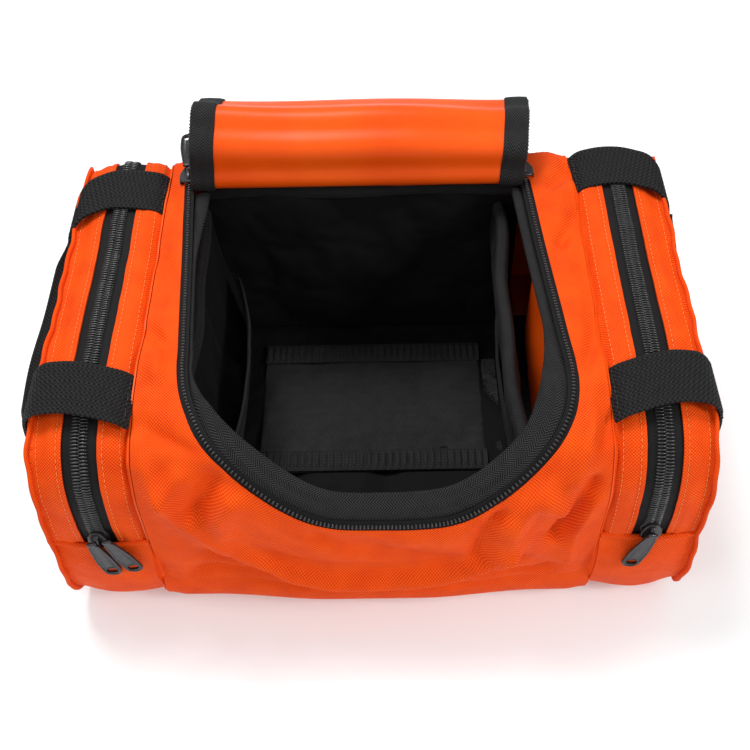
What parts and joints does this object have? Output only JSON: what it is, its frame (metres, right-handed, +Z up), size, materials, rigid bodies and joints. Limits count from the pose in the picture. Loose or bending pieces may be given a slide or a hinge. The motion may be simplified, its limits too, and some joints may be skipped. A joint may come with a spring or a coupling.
{
  "type": "first responder trauma bag",
  "caption": "Soft duffle-style trauma bag standing open: D-shaped zip lid thrown back, padded insert inside, and a zipped, strapped pocket at each end.",
  "frame": {"origin": "on the ground, under the middle of the main body", "axes": "+X to the bag's right seen from the front, +Y to the back where the lid hinges, +Z up"},
  "size_m": [0.4596, 0.3068, 0.2137],
  "materials": {
    "orange_nylon": "bright orange coarse plain-weave nylon, satin sheen",
    "coated_lining": "coated side of the orange cloth, smooth and slightly glossy",
    "black_padding": "black nylon over foam, matt",
    "black_webbing": "ribbed black webbing and herringbone binding",
    "coil_zip": "black zip tape with black coil teeth",
    "loop_tape": "black hook-and-loop tape, loop side",
    "base_board": "stiff black plastic board",
    "gunmetal": "gunmetal-black lacquer, satin"
  },
  "bodies": {
    "bag": {"base_board": "base_board", "base_tray": "orange_nylon", "divider_pad": "black_padding", "floor_loop_strip": "loop_tape", "insert_floor": "black_padding", "insert_front_binding": "black_webbing", "insert_front_wall": "black_padding", "insert_left_binding": "black_webbing", "insert_left_wall": "black_padding", "insert_rear_wall": "black_padding", "insert_right_binding": "black_webbing", "insert_right_wall": "black_padding", "left_dividing_wall": "coated_lining", "left_end_panel": "orange_nylon", "left_front_strap": "black_webbing", "left_gusset_inner_strip": "orange_nylon", "left_gusset_outer_strip": "orange_nylon", "left_lower_gusset": "orange_nylon", "left_pocket_zip": "coil_zip", "left_rear_strap": "black_webbing", "left_slip_pocket": "black_padding", "main_panel": "orange_nylon", "main_zip": "coil_zip", "right_dividing_wall": "coated_lining", "right_end_panel": "orange_nylon", "right_front_strap": "black_webbing", "right_gusset_inner_strip": "orange_nylon", "right_gusset_outer_strip": "orange_nylon", "right_lower_gusset": "orange_nylon", "right_pocket_zip": "coil_zip", "right_rear_strap": "black_webbing", "right_slip_pocket": "black_padding"},
    "lid_hinge": {"lid_hinge_panel": "coated_lining"},
    "lid_rear": {"lid_rear_panel": "coated_lining"},
    "lid_crown": {"lid_crown_panel": "coated_lining"},
    "lid_middle": {"lid_middle_panel": "coated_lining"},
    "lid_shoulder": {"lid_shoulder_panel": "coated_lining"},
    "lid_nose": {"lid_nose_panel": "coated_lining"},
    "main_zip_left_slider": {"main_zip_left_slider": "gunmetal"},
    "main_zip_left_pull": {"main_zip_left_pull": "gunmetal"},
    "main_zip_right_slider": {"main_zip_right_slider": "gunmetal"},
    "main_zip_right_pull": {"main_zip_right_pull": "gunmetal"},
    "left_pocket_slider": {"left_pocket_slider": "gunmetal"},
    "left_pocket_pull_front": {"left_pocket_pull_front": "gunmetal"},
    "left_pocket_pull_rear": {"left_pocket_pull_rear": "gunmetal"},
    "right_pocket_slider": {"right_pocket_slider": "gunmetal"},
    "right_pocket_pull": {"right_pocket_pull": "gunmetal"},
    "left_end_handle": {"left_end_handle": "black_webbing"},
    "right_end_handle": {"right_end_handle": "black_webbing"}
  },
  "joints": [
    {"name": "lid_hinge_turn", "type": "hinge", "parent": "bag", "child": "lid_hinge", "pos_m": [0, 0.095, 0.1745], "axis": [1, 0, 0], "range_deg": [0, 100]},
    {"name": "lid_rear_fold", "type": "hinge", "parent": "lid_hinge", "child": "lid_rear", "pos_m": [0, 0.09952, 0.20011], "axis": [1, 0, 0], "range_deg": [0, 50]},
    {"name": "lid_crown_fold", "type": "hinge", "parent": "lid_rear", "child": "lid_crown", "pos_m": [0, 0.12203, 0.2131], "axis": [1, 0, 0], "range_deg": [0, 55]},
    {"name": "lid_middle_fold", "type": "hinge", "parent": "lid_crown", "child": "lid_middle", "pos_m": [0, 0.14922, 0.20043], "axis": [1, 0, 0], "range_deg": [0, 57]},
    {"name": "lid_shoulder_fold", "type": "hinge", "parent": "lid_middle", "child": "lid_shoulder", "pos_m": [0, 0.16077, 0.11823], "axis": [1, 0, 0], "range_deg": [0, 16]},
    {"name": "lid_nose_fold", "type": "hinge", "parent": "lid_shoulder", "child": "lid_nose", "pos_m": [0, 0.16356, 0.07833], "axis": [1, 0, 0], "range_deg": [0, 38]},
    {"name": "main_zip_left_slide", "type": "slide", "parent": "bag", "child": "main_zip_left_slider", "axis": [0.0768, -0.997, 0], "range_m": [0, 0.15]},
    {"name": "main_zip_left_pull_swing", "type": "hinge", "parent": "main_zip_left_slider", "child": "main_zip_left_pull", "pos_m": [-0.12674, 0.11111, 0.18065], "axis": [0.997, 0.0768, 0], "range_deg": [0, 90]},
    {"name": "main_zip_right_slide", "type": "slide", "parent": "bag", "child": "main_zip_right_slider", "axis": [0.0768, -0.997, 0], "range_m": [0, 0.15]},
    {"name": "main_zip_right_pull_swing", "type": "hinge", "parent": "main_zip_right_slider", "child": "main_zip_right_pull", "pos_m": [0.10626, 0.11111, 0.18065], "axis": [0.997, 0.0768, 0], "range_deg": [0, 30]},
    {"name": "left_pocket_slide", "type": "slide", "parent": "bag", "child": "left_pocket_slider", "axis": [0, 0, 1], "range_m": [0, 0.034]},
    {"name": "left_pocket_pull_front_swing", "type": "hinge", "parent": "left_pocket_slider", "child": "left_pocket_pull_front", "pos_m": [-0.1726, -0.13995, 0.09572], "axis": [-0.9659, 0, -0.2588], "range_deg": [0, 150]},
    {"name": "left_pocket_pull_rear_swing", "type": "hinge", "parent": "left_pocket_slider", "child": "left_pocket_pull_rear", "pos_m": [-0.16294, -0.13995, 0.09831], "axis": [-0.9659, 0, -0.2588], "range_deg": [0, 150]},
    {"name": "left_handle_swing", "type": "hinge", "parent": "bag", "child": "left_end_handle", "pos_m": [-0.2043, 0.008, 0.138], "axis": [0, 1, 0], "range_deg": [-10, 80]},
    {"name": "right_pocket_slide", "type": "slide", "parent": "bag", "child": "right_pocket_slider", "axis": [0, 0, 1], "range_m": [0, 0.034]},
    {"name": "right_pocket_pull_swing", "type": "hinge", "parent": "right_pocket_slider", "child": "right_pocket_pull", "pos_m": [0.1697, -0.13995, 0.0965], "axis": [-0.9659, 0, 0.2588], "range_deg": [0, 150]},
    {"name": "right_handle_swing", "type": "hinge", "parent": "bag", "child": "right_end_handle", "pos_m": [0.2043, 0.008, 0.138], "axis": [0, -1, 0], "range_deg": [0, 80]}
  ],
  "couplings": [
    {"joint": "lid_rear_fold", "follows": "lid_hinge_turn", "ratio": 0.5},
    {"joint": "lid_crown_fold", "follows": "lid_hinge_turn", "ratio": 0.55},
    {"joint": "lid_middle_fold", "follows": "lid_hinge_turn", "ratio": 0.57},
    {"joint": "lid_shoulder_fold", "follows": "lid_hinge_turn", "ratio": 0.16},
    {"joint": "lid_nose_fold", "follows": "lid_hinge_turn", "ratio": 0.38}
  ]
}
